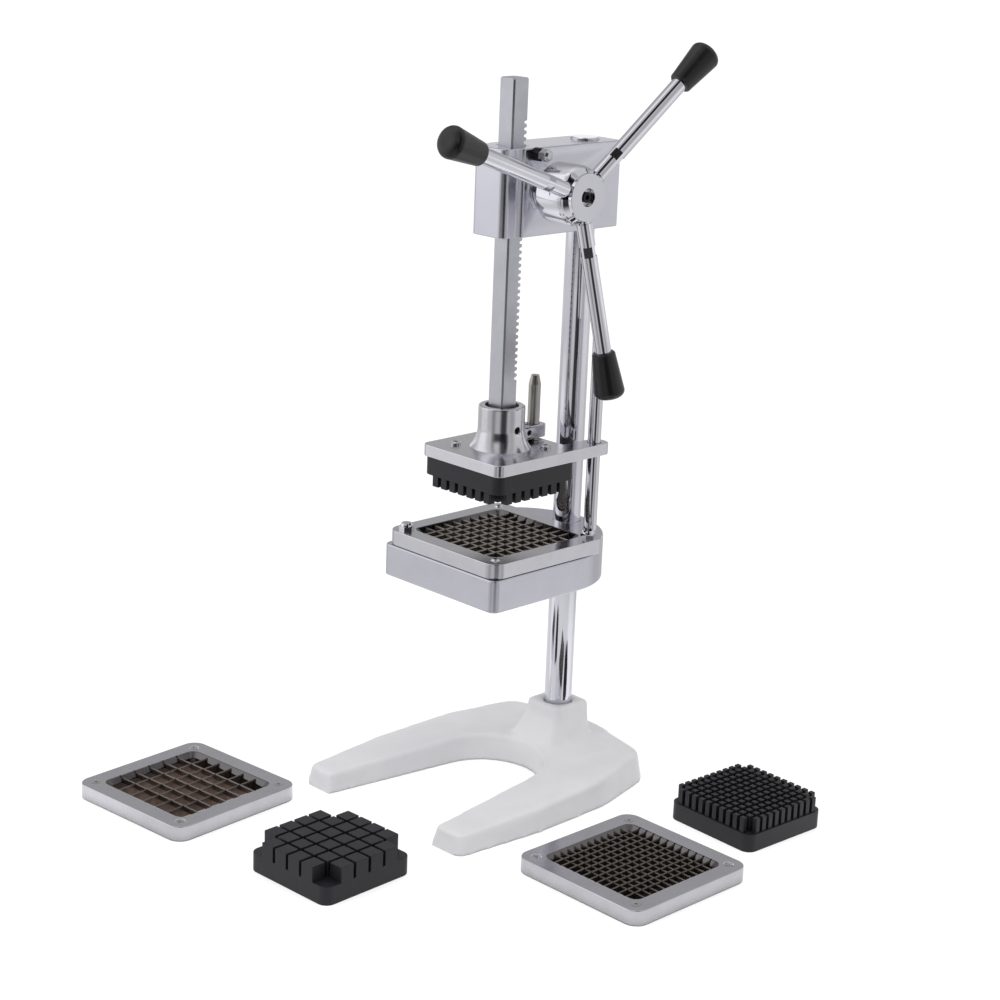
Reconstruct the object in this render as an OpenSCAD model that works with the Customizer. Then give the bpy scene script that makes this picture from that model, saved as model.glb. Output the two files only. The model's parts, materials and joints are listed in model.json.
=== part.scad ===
// Upright french fry cutter with a rack, a three-lever pinion, a toothed pusher
// and a set of three blade grids. X runs to the operator's right, Y to the back, Z up.
// The origin is on the table, straight below the rack and the middle of the grid.

/* [Blade grids] */
// Outer side of a square cutting frame
frame_side = 154; // [148:1:160]
// Thickness of a cutting frame
frame_t = 15; // [14:0.5:17]
// Corner radius of a cutting frame
frame_corner_r = 14; // [8:0.5:16]
// Clear side of the opening that the blades cross
grid_side = 108; // [96:6:108]
// Width of the bevel round the opening
grid_bevel = 5; // [3:0.5:6]
// Thickness of a blade
blade_t = 0.8; // [0.5:0.1:1.2]
// Depth of one layer of blades
blade_h = 6; // [5:0.25:6.25]
// How far the upper blades' edges lie under the top of the frame
blade_drop = 0.8; // [0.6:0.1:1.2]
// Cells along a side of the mounted grid
cells = 9; // [6:1:12]
// Cells along a side of the coarse grid
coarse_cells = 6; // [5:1:8]
// Cells along a side of the fine grid
fine_cells = 12; // [10:1:14]

/* [Pusher blocks] */
// Gap between a pusher block and the wall of the grid's opening
block_gap = 1; // [0.6:0.1:1.5]
// Thickness of the solid part of a pusher block
block_base_t = 18; // [14:1:22]
// Length of the mounted block's teeth, which push the food through the grid
tooth_len = 11; // [10:1:14]
// Length of the spare blocks' teeth
spare_tooth_len = 15; // [12:1:18]
// How far the teeth of the mounted and the fine block stand in from the sides
tooth_inset = 1.4; // [0.6:0.2:2.4]
// Slot between the teeth of the mounted block
slot_w = 4; // [2.4:0.2:5]
// Slot between the teeth of the coarse block
coarse_slot_w = 3; // [2.4:0.2:5]
// Slot between the teeth of the fine block
fine_slot_w = 3.6; // [2.4:0.2:4]
// Corner radius of a pusher block
block_corner_r = 10; // [6:1:12]

/* [Heights] */
// Height of the top of the mounted cutting frame above the table
grid_z = 264; // [230:1:300]
// Height of the pusher's tooth tips above the grid at rest
rest_gap = 47; // [30:1:60]
// Underside of the gear head above the table
head_z = 560; // [540:1:600]
// Height of the gear head
head_h = 83.5; // [80:0.5:95]
// Length of the rack
rack_len = 362.5; // [355:0.5:380]

/* [Base] */
// Distance from the rack to the front of the base's legs
base_front = 146; // [120:1:160]
// Distance from the rack to the back of the base
base_back = 151; // [140:1:165]
// Half width of the base over the legs
base_half_w = 122.5; // [110:0.5:130]
// Half width of the gap between the legs at their tips
base_gap_tip = 75; // [70:0.5:85]
// Half width of the gap at its round end
base_gap_r = 56.5; // [52:0.5:60]
// Thickness of the legs at their tips
base_tip_t = 20; // [15:0.5:24]
// Thickness of the base at its back
base_back_t = 31; // [26:1:36]
// Draft of the casting's sides, from floor to top
base_draft = 4; // [2:0.5:6]
// Side of the square boss that holds the column
boss_side = 48; // [42:1:52]
// Height of the boss's top above the table
boss_z = 66; // [55:1:80]

/* [Column and guide] */
// Diameter of the column
column_d = 28; // [24:1:32]
// Gap between the cutting frame and the column
column_gap = 7; // [5:0.5:12]
// How far the column stands out of the gear head's top
column_proud = 2.5; // [1:0.5:6]
// Diameter of the guide rod
guide_d = 13; // [10:0.5:14]
// Gap between the column and the guide rod, sideways
guide_side_gap = 23.5; // [19:0.5:26]
// Gap between the cutting frame and the guide rod
guide_back_gap = 2.5; // [2:0.5:5]
// Height of the guide rod's top above the table
guide_top_z = 462; // [458:1:470]

/* [Blade holder] */
// Side of the holder under the frame
holder_side = 158; // [156:1:168]
// Depth of the holder
holder_h = 32; // [26:1:40]
// Height of the land behind the frame
holder_land = 11; // [6:1:13]
// Distance of the frame's bolts from its middle, along X and Y
stud_pos = 63; // [61:0.5:65]
// Diameter of the holes for the frame's bolts
stud_hole_d = 9.5; // [9:0.1:10.5]

/* [Gear] */
// Module of the rack and the pinion
gear_module = 2; // [1.75:0.25:2]
// Teeth of the pinion
pinion_teeth = 12; // [12:1:13]
// Teeth cut along the rack
rack_teeth = 39; // [36:1:42]
// Side of the square rack
rack_side = 20; // [20:0.5:22]
// Chamfer along the rack's edges
rack_chamfer = 1.5; // [1:0.1:2]
// Depth of the pinion's axis below the top of the gear head
pinion_drop = 39.9; // [37.5:0.1:44]
// Diameter of the pinion's shaft
shaft_d = 16; // [14:0.5:18]

/* [Gear head] */
// Half width of the head's narrow front
head_nose_half = 21.8; // [20:0.2:23]
// Radius of the upright edges at the head's front
head_nose_r = 7.5; // [2:0.5:9]
// Half width of the head round the gear and the column
head_half = 25; // [24:0.5:30]
// Distance from the rack's middle to the head's front
head_front = 30; // [24:1:36]
// Metal behind the column
head_back_wall = 14; // [8:0.5:18]
// Radius of the hollow flare between the nose and the body
head_flare_r = 14; // [8:1:20]
// Radius of the head's round boss for the shaft
head_boss_r = 20; // [18.5:0.5:22]
// How far that boss stands out
head_boss_len = 2.6; // [2:0.2:5]

/* [Hub and levers] */
// Largest radius of the hub
hub_r = 28.5; // [26:0.5:30]
// Radius of the hub's flat face
hub_face_r = 22.3; // [20:0.1:24]
// Length of the hub
hub_len = 53.5; // [50:0.5:60]
// Diameter of the recess in the hub's face
hub_recess_d = 17; // [14:0.5:19]
// Distance from the hub's face back to the root of the levers
lever_setback = 11; // [10:0.5:14]
// Diameter of a lever
lever_d = 15.5; // [13:0.5:16]
// Distance from the hub's axis to the outer end of a grip
lever_reach = 198; // [170:1:230]
// Angle by which the levers lean outwards
lever_lean = 5; // [0:0.5:10]
// Angle of the first lever above the horizontal, seen from the right
lever_angle = 160.8; // [0:0.1:360]
// Length of a grip
grip_len = 46; // [40:1:60]
// Diameter of a grip's outer end
grip_d = 30; // [26:0.5:34]
// Diameter of a grip's inner end
grip_neck_d = 22.5; // [18:0.5:25]

/* [Pusher plate] */
// Side of the square part of the pusher plate
plate_side = 109; // [104:1:112]
// Thickness of the pusher plate
plate_t = 12; // [9:0.5:15]
// Corner radius of the pusher plate
plate_corner_r = 8; // [5:0.5:10]
// Metal round the guide rod's hole in the arm
arm_wall = 4; // [4:0.5:7]
// Radius of the collar round the rack
collar_r = 22.8; // [20:0.2:24]
// Height of the collar above the plate
collar_h = 41.6; // [36:0.2:48]
// Radius of the collar's foot
collar_foot_r = 30; // [27:0.5:32]
// Height of the collar's flare
collar_flare_h = 20; // [14:1:24]
// Distance of the block's screws from the middle, along X and Y
block_screw_pos = 31; // [29:0.5:36]
// Diameter of the stop pin
stop_pin_d = 12; // [10:0.5:13]
// Distance from the rack's middle to the stop pin
stop_pin_y = 44; // [42:0.5:46]
// How far the stop pin stands above the plate
stop_pin_h = 65; // [50:1:80]

/* [Spare grids and blocks on the table] */
// Place of the coarse frame's middle, to the left of the rack
coarse_frame_x = 158; // [150:1:180]
// Place of the coarse frame's middle, in front of the rack
coarse_frame_y = 258.5; // [250:0.5:280]
// Place of the coarse block's middle, to the right of the rack
coarse_block_x = 58; // [55:1:80]
// Place of the coarse block's middle, in front of the rack
coarse_block_y = 256; // [250:1:280]
// Place of the fine frame's middle, to the right of the rack
fine_frame_x = 242.5; // [235:0.5:260]
// Place of the fine frame's middle, in front of the rack
fine_frame_y = 46.5; // [40:0.5:60]
// Place of the fine block's middle, to the right of the rack
fine_block_x = 233; // [225:1:260]
// Place of the fine block's middle, behind the rack
fine_block_y = 128; // [120:1:150]

/* [Hidden] */

$fn = 48;
e = 0.5;                    // how far a cut runs past a face
slip = 0.1;                 // radial clearance of parts that are slid on
running = 0.05;             // radial clearance of parts that turn or slide in use
press = 0.02;               // radial clearance of parts that are driven or screwed in
slot_fit = 0.1;             // clearance on each side of a blade in its slot

// Heights that follow from one another
frame_z = grid_z - frame_t;
holder_z = frame_z - holder_h;
land_z = frame_z + holder_land;
head_top = head_z + head_h;
pinion_z = head_top - pinion_drop;
block_z = grid_z + rest_gap + tooth_len + block_base_t;
plate_z = block_z + plate_t;
collar_top = plate_z + collar_h;

// Places of the column and the guide rod
column_r = column_d / 2;
column_y = frame_side / 2 + column_gap + column_r;
guide_r = guide_d / 2;
guide_x = column_r + guide_side_gap + guide_r;
guide_y = frame_side / 2 + guide_back_gap + guide_r;

// Gear geometry: the pinion is shifted outwards so that its few teeth are not undercut
pressure = 20;
shift = 0.3;
tooth_pitch = PI * gear_module;
pitch_r = gear_module * pinion_teeth / 2;
base_r = pitch_r * cos(pressure);
tip_r = pitch_r + gear_module * (1 + shift) - 0.1;
root_r = pitch_r - gear_module * (1.25 - shift);
backlash = 0.16;
rack_half = rack_side / 2;
rack_pitch_y = rack_half - gear_module;
pinion_y = rack_pitch_y + pitch_r + shift * gear_module;
gear_w = rack_side;
cavity_r = tip_r + 0.6;
rack_socket = 4;            // how far above the plate's underside the rack ends
rack_z = block_z + rack_socket;
rack_top = rack_z + rack_len;
rack_plain = 41;            // from the rack's top down to its first gap
rack_teeth_z = rack_top - rack_plain - rack_teeth * tooth_pitch;

// Places along the shaft
boss_x = head_half + head_boss_len;
hub_gap = 0.8;
hub_x = boss_x + hub_gap;
hub_face_x = hub_x + hub_len;
lever_x = hub_face_x - lever_setback;
shaft_r = shaft_d / 2;
left_bush_r = shaft_r + 3;
hub_recess_depth = 5;
lever_thread_r = lever_d / 2 - 1.5;
lever_socket = 10;          // from the shaft's axis to the bottom of a lever's socket
washer_t = 2;

column_foot_z = 14;
bolt_r = 5;
set_screw_r = 4;
brake_y = 6.5;
brake_z = head_top - 5.5;
brake_r = 3;
stud_r = 4;
nut_af = 13;
hex_r = nut_af / 2 / cos(30);
screw_head_r = 4.6;
frame_screw_r = 2.5;
block_side = grid_side - 2 * block_gap;
arm_x0 = guide_x - guide_r - arm_wall - 1;
arm_x1 = max(plate_side / 2, guide_x + guide_r + arm_wall);
arm_y1 = guide_y + guide_r + arm_wall + 3.5;
lug_half = 8;
lug_z = plate_z + 3;
lug_t = 13.5;
lug_y1 = stop_pin_y + stop_pin_d / 2 + 5;
pinch_y = (collar_r + stop_pin_y - stop_pin_d / 2) / 2 + 1;
pinch_z = lug_z + lug_t / 2;
pinch_r = 2.5;

// ---------- shapes that several pieces share ----------

// A rectangle from corner [x0, y0] to corner [x1, y1] with round corners
module round_rect(x0, y0, x1, y1, r) {
  translate([x0 + r, y0]) square([x1 - x0 - 2 * r, y1 - y0]);
  translate([x0, y0 + r]) square([x1 - x0, y1 - y0 - 2 * r]);
  for (x = [x0 + r, x1 - r], y = [y0 + r, y1 - r])
    translate([x, y]) circle(r);
}

module round_square(side, r) {
  round_rect(-side / 2, -side / 2, side / 2, side / 2, r);
}

// A cylinder along +X from x = 0
module rod_x(r, len) {
  rotate([0, 90, 0]) cylinder(r = r, h = len);
}

// A hexagonal prism along +X from x = 0
module hex_x(r, len) {
  rotate([0, 90, 0]) cylinder(r = r, h = len, $fn = 6);
}

// A grub screw along +Y with a hexagon socket in its outer end
module grub_screw(r, len) {
  rotate([-90, 0, 0]) difference() {
    cylinder(r = r, h = len);
    translate([0, 0, len - 3]) cylinder(r = r * 0.55, h = 3 + e, $fn = 6);
  }
}

// A countersunk screw pointing down, its flat head level with z = 0
module flat_screw(r, head_r, len) {
  difference() {
    union() {
      translate([0, 0, -len]) cylinder(r = r, h = len);
      translate([0, 0, r - head_r]) cylinder(r1 = r, r2 = head_r, h = head_r - r);
    }
    translate([0, 0, -1.4]) cylinder(r = head_r * 0.42, h = 1.4 + e, $fn = 6);
  }
}

module flat_screw_hole(r, head_r, depth) {
  translate([0, 0, -depth]) cylinder(r = r, h = depth + e);
  translate([0, 0, r - head_r]) cylinder(r1 = r, r2 = head_r + e, h = head_r - r + e);
}

// ---------- blade grids ----------

// One blade along +X, ground to an edge along its top
module blade(len) {
  rotate([90, 0, 90]) linear_extrude(len)
    polygon([[-blade_t / 2, 0], [blade_t / 2, 0], [blade_t / 2, blade_h - 1.2],
      [0, blade_h], [-blade_t / 2, blade_h - 1.2]]);
}

// A layer of parallel blades across a grid of n cells, running along X
module blade_layer(n, z) {
  pitch = grid_side / n;
  len = grid_side + 2 * grid_bevel;
  for (i = [1 : n - 1])
    translate([-len / 2, i * pitch - grid_side / 2, z]) blade(len);
}

opening_r = 6;              // corner radius of the opening
upper_z = frame_t - blade_drop - blade_h;
lower_z = upper_z - blade_h - 0.1;

// The upper layer is turned a quarter turn to the lower one
module upper_layer(n) { rotate(90) blade_layer(n, upper_z); }
module lower_layer(n) { blade_layer(n, lower_z); }

// Bolt holes lie on one diagonal and blade screws on the other
module on_diagonal(turn) {
  rotate(turn) for (s = [-1, 1]) translate([s * stud_pos, s * stud_pos, 0]) children();
}

module frame_body(n) {
  pitch = grid_side / n;
  slot_half = blade_t / 2 + slot_fit;
  slot_len = grid_side / 2 + grid_bevel + slot_fit;
  difference() {
    linear_extrude(frame_t) round_square(frame_side, frame_corner_r);
    translate([0, 0, -e]) linear_extrude(frame_t + 2 * e) round_square(grid_side, opening_r);
    hull() {
      translate([0, 0, frame_t - grid_bevel]) linear_extrude(0.01)
        round_square(grid_side, opening_r, $fn = 32);
      translate([0, 0, frame_t + e]) linear_extrude(0.01)
        round_square(grid_side + 2 * (grid_bevel + e), opening_r + 3, $fn = 32);
    }
    for (i = [1 : n - 1]) {
      rotate(90) translate([-slot_len, i * pitch - grid_side / 2 - slot_half, upper_z - slot_fit])
        cube([2 * slot_len, 2 * slot_half, frame_t]);
      translate([-slot_len, i * pitch - grid_side / 2 - slot_half, -e])
        cube([2 * slot_len, 2 * slot_half, lower_z + blade_h + slot_fit + e]);
    }
    on_diagonal(0) translate([0, 0, -e]) cylinder(d = stud_hole_d, h = frame_t + 2 * e);
    on_diagonal(90) translate([0, 0, frame_t])
      flat_screw_hole(frame_screw_r + press, screw_head_r, frame_t);
  }
}

// The mounted frame's screws have raised heads
module blade_screws(raise) {
  on_diagonal(90) translate([0, 0, frame_t]) {
    flat_screw(frame_screw_r, screw_head_r, frame_t - 1);
    if (raise > 0) difference() {
      translate([0, 0, -0.2]) cylinder(r1 = screw_head_r, r2 = screw_head_r - 1.5, h = raise + 0.2);
      translate([0, 0, -e]) cylinder(r = screw_head_r * 0.42, h = raise + 2 * e, $fn = 6);
    }
  }
}

// ---------- pusher blocks ----------

// A block with its back at z = 0 and its teeth pointing up; the four corner teeth are left out
module toothed_block(n, slot, len, inset) {
  pitch = grid_side / n;
  corner = max(pitch - block_gap + slot / 2, block_corner_r);
  half = block_side / 2;
  difference() {
    linear_extrude(block_base_t + len) round_square(block_side, block_corner_r);
    for (i = [1 : n - 1], turn = [0, 90])
      rotate(turn) translate([-grid_side / 2, i * pitch - grid_side / 2 - slot / 2, block_base_t])
        cube([grid_side, slot, len + e]);
    for (sx = [-1, 1], sy = [-1, 1])
      translate([sx * half - corner, sy * half - corner, block_base_t])
        cube([2 * corner, 2 * corner, len + e]);
    if (inset > 0) for (turn = [0, 90, 180, 270])
      rotate(turn) translate([half - inset, -half - e, block_base_t])
        cube([inset + e, 2 * half + 2 * e, len + e]);
    for (s = [-1, 1])
      translate([s * block_screw_pos, s * block_screw_pos, -e])
        cylinder(r = frame_screw_r + press, h = block_base_t - 4 + e);
  }
}

module mount_grid() { translate([0, 0, frame_z]) children(); }
module place_coarse_frame() { translate([-coarse_frame_x, -coarse_frame_y, 0]) rotate(94.3) children(); }
module place_coarse_block() { translate([coarse_block_x, -coarse_block_y, 0]) rotate(2) children(); }
module place_fine_frame() { translate([fine_frame_x, -fine_frame_y, 0]) rotate(-0.2) children(); }
module place_fine_block() { translate([fine_block_x, fine_block_y, 0]) rotate(-2.5) children(); }

module cutting_frame() { color("lightsteelblue") mount_grid() frame_body(cells); }
module upper_blades() { color("gainsboro") mount_grid() upper_layer(cells); }
module lower_blades() { color("dimgray") mount_grid() lower_layer(cells); }
module frame_screws() { color("silver") mount_grid() blade_screws(1.6); }

module coarse_frame() { color("lightsteelblue") place_coarse_frame() frame_body(coarse_cells); }
module coarse_upper_blades() { color("gainsboro") place_coarse_frame() upper_layer(coarse_cells); }
module coarse_lower_blades() { color("dimgray") place_coarse_frame() lower_layer(coarse_cells); }
module coarse_frame_screws() { color("silver") place_coarse_frame() blade_screws(0); }
module coarse_block() {
  color([0.13, 0.13, 0.14]) place_coarse_block()
    toothed_block(coarse_cells, coarse_slot_w, spare_tooth_len, 0);
}

module fine_frame() { color("lightsteelblue") place_fine_frame() frame_body(fine_cells); }
module fine_upper_blades() { color("gainsboro") place_fine_frame() upper_layer(fine_cells); }
module fine_lower_blades() { color("dimgray") place_fine_frame() lower_layer(fine_cells); }
module fine_frame_screws() { color("silver") place_fine_frame() blade_screws(0); }
module fine_block() {
  color([0.13, 0.13, 0.14]) place_fine_block()
    toothed_block(fine_cells, fine_slot_w, spare_tooth_len, tooth_inset);
}

// Bolts that hold the mounted frame down, with their dome nuts
stud_foot = 16;             // how deep a stud is screwed into the holder

module frame_studs() {
  color("silver") on_diagonal(0)
    translate([0, 0, frame_z - stud_foot]) cylinder(r = stud_r, h = stud_foot + frame_t + 3.4);
}

module dome_nuts() {
  hex_h = 3.2;
  dome_r = nut_af / 2 - 0.3;
  color("gainsboro") on_diagonal(0) translate([0, 0, grid_z]) difference() {
    union() {
      cylinder(r = hex_r, h = hex_h, $fn = 6);
      translate([0, 0, hex_h - e]) intersection() {
        sphere(dome_r);
        cylinder(r = dome_r, h = dome_r - 2.5);
      }
    }
    translate([0, 0, -e]) cylinder(r = stud_r + press, h = 3.6 + e);
  }
}

// ---------- base ----------

// Side outline of the casting, for cutting its sloping top
module under_slope(z_off) {
  span = base_front + base_back;
  rise = (base_back_t - base_tip_t) / span;
  far = base_half_w + 30;
  rotate([90, 0, 90]) translate([0, 0, -far]) linear_extrude(2 * far)
    polygon([[-base_front - 20, -e], [base_back + 20, -e],
      [base_back + 20, base_back_t + 20 * rise + z_off],
      [-base_front - 20, base_tip_t - 20 * rise + z_off]]);
}

// Outline of the whole casting, pulled in by d: its sides swell a little between the tips
// of the legs and the back
module base_outline(d) {
  for (m = [0, 1]) mirror([m, 0]) {
    translate([base_half_w - 17.5, 10 - base_front]) circle(10 - d);
    translate([base_half_w - 60, -45]) circle(60 - d, $fn = 96);
    translate([base_half_w - 65.5, 38]) circle(60 - d, $fn = 96);
    translate([base_half_w - 47.5, base_back - 43]) circle(28 - d);
  }
  translate([0, base_back - 120]) circle(120 - d, $fn = 96);
}

// Outline of the gap between the legs, made wider by d
module base_gap(d) {
  translate([0, -4]) circle(base_gap_r + d, $fn = 96);
  translate([-base_gap_tip - d, -base_front - 1 - d]) square([2 * (base_gap_tip + d), 1]);
}

// Foot that spreads from the boss towards the gap
module boss_foot() {
  half = boss_side / 2;
  hull() {
    translate([0, column_y, boss_z - 12]) linear_extrude(0.01) round_square(boss_side, 6);
    translate([0, 0, 22]) linear_extrude(0.01)
      round_rect(-half - 10, -4 + base_gap_r + 3, half + 10, column_y + half - 3, 10);
  }
}

module base() {
  top = base_back_t + 4;
  color([0.93, 0.93, 0.94]) difference() {
    union() {
      intersection() {
        hull() {
          linear_extrude(0.01) base_outline(0);
          translate([0, 0, top]) linear_extrude(0.01) base_outline(base_draft * 1.6);
        }
        under_slope(0);
      }
      boss_foot();
      translate([0, column_y, 10]) linear_extrude(boss_z - 10) round_square(boss_side, 6);
    }
    hull() {
      translate([0, 0, -e]) linear_extrude(0.01) base_gap(0);
      translate([0, 0, boss_z]) linear_extrude(0.01) base_gap(base_draft * 1.8);
    }
    translate([0, column_y, column_foot_z]) cylinder(r = column_r + slip, h = boss_z);
    translate([0, column_y, -e]) cylinder(r = bolt_r + slip, h = column_foot_z + 2 * e);
    translate([0, column_y, -e]) cylinder(r = bolt_r * 2 + 1, h = 8 + e);
  }
}

module column() {
  color("silver") translate([0, column_y, column_foot_z]) difference() {
    len = head_top + column_proud - column_foot_z;
    union() {
      cylinder(r = column_r, h = len - 1);
      translate([0, 0, len - 1]) cylinder(r1 = column_r, r2 = column_r - 1, h = 1);
    }
    translate([0, 0, -e]) cylinder(r = bolt_r + press, h = 30 + e);
  }
}

// Bolt from below that holds the column in the base
module column_bolt() {
  color("dimgray") translate([0, column_y, 8]) difference() {
    union() {
      translate([0, 0, -6]) cylinder(r = bolt_r * 1.7, h = 6);
      cylinder(r = bolt_r, h = column_foot_z - 8 + 25);
    }
    translate([0, 0, -6 - e]) cylinder(r = bolt_r * 0.75, h = 4, $fn = 6);
  }
}

// ---------- blade holder ----------

holder_half = holder_side / 2;
holder_arc_y = column_y + column_r + 4.5 - holder_half;
rear_boss_r = column_r + 6.5;

module holder_plan() {
  round_rect(-holder_half, -holder_half, holder_half, holder_arc_y, 8);
  translate([-holder_half, 0]) square([holder_side, holder_arc_y]);
  translate([0, holder_arc_y]) circle(holder_half, $fn = 96);
  translate([0, column_y]) circle(rear_boss_r);
}

module blade_holder() {
  chute = grid_side + 2;
  color("lightgray") difference() {
    union() {
      translate([0, 0, holder_z]) linear_extrude(holder_h) holder_plan();
      translate([0, 0, frame_z]) linear_extrude(holder_land) intersection() {
        holder_plan();
        translate([-holder_half, frame_side / 2 + 0.6]) square([holder_side, holder_side]);
      }
    }
    translate([0, 0, holder_z - e]) linear_extrude(holder_h + 2 * e) round_square(chute, 4);
    translate([0, column_y, holder_z - e])
      cylinder(r = column_r + slip, h = holder_h + holder_land + 2 * e);
    translate([guide_x, guide_y, holder_z - e])
      cylinder(r = guide_r - 2 + press, h = holder_h + holder_land + 2 * e);
    translate([guide_x, guide_y, holder_z - e]) cylinder(r = guide_nut_r + 1, h = guide_nut_t + 2 + e);
    on_diagonal(0) translate([0, 0, frame_z - stud_foot])
      cylinder(r = stud_r + press, h = stud_foot + e);
    for (z = holder_screw_zs) translate([0, column_y, z]) rotate([-90, 0, 0])
      cylinder(r = set_screw_r + press, h = 2 * column_r);
    for (s = [-1, 1]) translate([0, 0, holder_z - e]) linear_extrude(holder_h - 6 + e)
      holder_core(s);
  }
}

// Hollow under the holder on each side of the column
module holder_core(s) {
  wall = 6;
  y0 = grid_side / 2 + 1 + wall;
  intersection() {
    translate([0, holder_arc_y]) circle(holder_half - wall, $fn = 96);
    translate([s > 0 ? column_r + 8 : -guide_x + 4, y0])
      square([guide_x - column_r - 12, guide_y - guide_r - 8 - y0]);
  }
}

holder_screw_zs = [holder_z + holder_h / 3, holder_z + holder_h * 0.85];

module holder_set_screws() {
  color("dimgray") for (z = holder_screw_zs)
    translate([0, column_y + column_r, z]) grub_screw(set_screw_r, rear_boss_r - column_r - 0.5);
}

guide_nut_r = 6.5;
guide_nut_t = 5;

module guide_rod() {
  tip = 3;
  color("silver") translate([guide_x, guide_y, 0]) {
    translate([0, 0, land_z]) cylinder(r = guide_r, h = guide_top_z - land_z - tip);
    translate([0, 0, guide_top_z - tip]) cylinder(r1 = guide_r, r2 = guide_r - tip + 1, h = tip);
    translate([0, 0, holder_z + 1]) cylinder(r = guide_r - 2, h = land_z - holder_z - 1);
  }
}

module guide_rod_nut() {
  color("dimgray") translate([guide_x, guide_y, holder_z + 2]) difference() {
    cylinder(r = guide_nut_r, h = guide_nut_t, $fn = 6);
    translate([0, 0, -e]) cylinder(r = guide_r - 2 + press, h = guide_nut_t + 2 * e);
  }
}

// ---------- gear head ----------

head_back = column_y + column_r + head_back_wall;
flare_y0 = -16;             // where the flare leaves the nose
flare_w = head_half - head_nose_half;
flare_y1 = flare_y0 + sqrt(head_flare_r * head_flare_r - pow(head_flare_r - flare_w, 2));

module head_plan() {
  round_rect(-head_nose_half, -head_front, head_nose_half, 40, head_nose_r);
  round_rect(-head_half, flare_y1 + 4, head_half, head_back, 6);
  for (s = [-1, 1]) difference() {
    translate([min(0, s * head_half), flare_y0]) square([head_half, 40]);
    translate([s * (head_nose_half + head_flare_r), flare_y0]) circle(head_flare_r, $fn = 64);
  }
}

module head_body() {
  translate([0, 0, head_z]) linear_extrude(head_h) head_plan();
  translate([head_half - 6, pinion_y, pinion_z]) rod_x(head_boss_r, 6 + head_boss_len);
  translate([head_half - e, pinion_y, pinion_z]) rotate([0, 90, 0])
    cylinder(r1 = head_boss_r + 2 + e, r2 = head_boss_r, h = 2);
}

module gear_head() {
  color("lightgray") difference() {
    head_body();
    translate([0, 0, head_z - e]) linear_extrude(head_h + 2 * e)
      square(rack_side + 2 * running, center = true);
    translate([0, column_y, head_z - e]) cylinder(r = column_r + slip, h = head_h + 2 * e);
    translate([-gear_w / 2 - 0.5, pinion_y, pinion_z]) rod_x(cavity_r + press, 2 * head_half);
    translate([-head_half - e, pinion_y, pinion_z]) rod_x(left_bush_r + press, head_half);
    translate([0, brake_y, brake_z]) rod_x(brake_r + press, 2 * head_half);
    for (z = head_screw_zs) translate([0, column_y, z]) rotate([-90, 0, 0])
      cylinder(r = set_screw_r + press, h = 2 * column_r);
    translate([bush_screw_x, pinion_y, head_z - e]) cylinder(r = 3 + press, h = pinion_z - head_z);
  }
}

head_screw_zs = [head_z + head_h * 0.25, head_z + head_h * 0.75];

module head_set_screws() {
  color("dimgray") for (z = head_screw_zs)
    translate([0, column_y + column_r, z]) grub_screw(set_screw_r, head_back_wall - 0.5);
}

// The right bush fills the bore through which the pinion goes in
right_bush_x = gear_w / 2 + 0.5;
bush_screw_x = (right_bush_x + head_half) / 2;

module left_bush() {
  color("peru") translate([-head_half, pinion_y, pinion_z]) difference() {
    rod_x(left_bush_r, head_half - gear_w / 2 - 0.5);
    translate([-e, 0, 0]) rod_x(shaft_r + running, head_half);
  }
}

module right_bush() {
  color("peru") translate([right_bush_x, pinion_y, pinion_z]) difference() {
    rod_x(cavity_r, boss_x - right_bush_x);
    translate([-e, 0, 0]) rod_x(shaft_r + running, boss_x);
  }
}

module bush_set_screw() {
  z0 = pinion_z - cavity_r - 8;
  color("dimgray") translate([bush_screw_x, pinion_y, z0]) difference() {
    cylinder(r = 3, h = 7.6);
    translate([0, 0, -e]) cylinder(r = 1.6, h = 3, $fn = 6);
  }
}

// A spring-free brake: a screw presses a bronze pad on the side of the rack
pad_len = 5;
pad_x = rack_half + running;

module brake_pad() {
  color("peru") translate([pad_x, brake_y, brake_z]) rod_x(brake_r, pad_len);
}

lock_nut_len = 8;
brake_nut_x = head_half;
brake_head_x = head_half + lock_nut_len;

module brake_screw() {
  head_len = 9;
  head_r = 6;
  color("silver") translate([pad_x + pad_len, brake_y, brake_z]) {
    rod_x(brake_r, brake_head_x - pad_x - pad_len);
    translate([brake_head_x - pad_x - pad_len, 0, 0]) {
      hex_x(head_r, head_len);
      translate([head_len, 0, 0]) rotate([0, 90, 0])
        cylinder(r1 = head_r * cos(30) - 0.2, r2 = head_r * cos(30) - 2.2, h = 2);
    }
  }
}

module brake_lock_nut() {
  color([0.1, 0.1, 0.11]) translate([brake_nut_x, brake_y, brake_z]) difference() {
    rod_x(6.2, lock_nut_len);
    translate([-e, 0, 0]) rod_x(brake_r + press, lock_nut_len + 2 * e);
  }
}

// ---------- pinion, hub and levers ----------

function involute(a) = base_r * [cos(a) + a * PI / 180 * sin(a), sin(a) - a * PI / 180 * cos(a)];
function inv_angle(a) = tan(a) * 180 / PI - a;

// Half the angle of a tooth at the pitch circle
half_tooth = 90 / pinion_teeth + 2 * shift * tan(pressure) / pinion_teeth * 180 / PI
  - backlash / 2 / pitch_r * 180 / PI;
tip_roll = sqrt(pow(tip_r / base_r, 2) - 1) * 180 / PI;
flank_steps = 5;

function turned(p, a) = [p[0] * cos(a) - p[1] * sin(a), p[0] * sin(a) + p[1] * cos(a)];

// Right flank of a tooth that points along +X, from its root to its tip
function flank() = let (start = -(half_tooth + inv_angle(pressure)))
  concat([root_r * 0.96 * [cos(start), sin(start)]],
    [for (i = [0 : flank_steps]) turned(involute(tip_roll * i / flank_steps), start)]);

function flipped(points) = [for (i = [len(points) - 1 : -1 : 0]) [points[i][0], -points[i][1]]];

module pinion_tooth() {
  polygon(concat(flank(), flipped(flank())));
}

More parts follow.
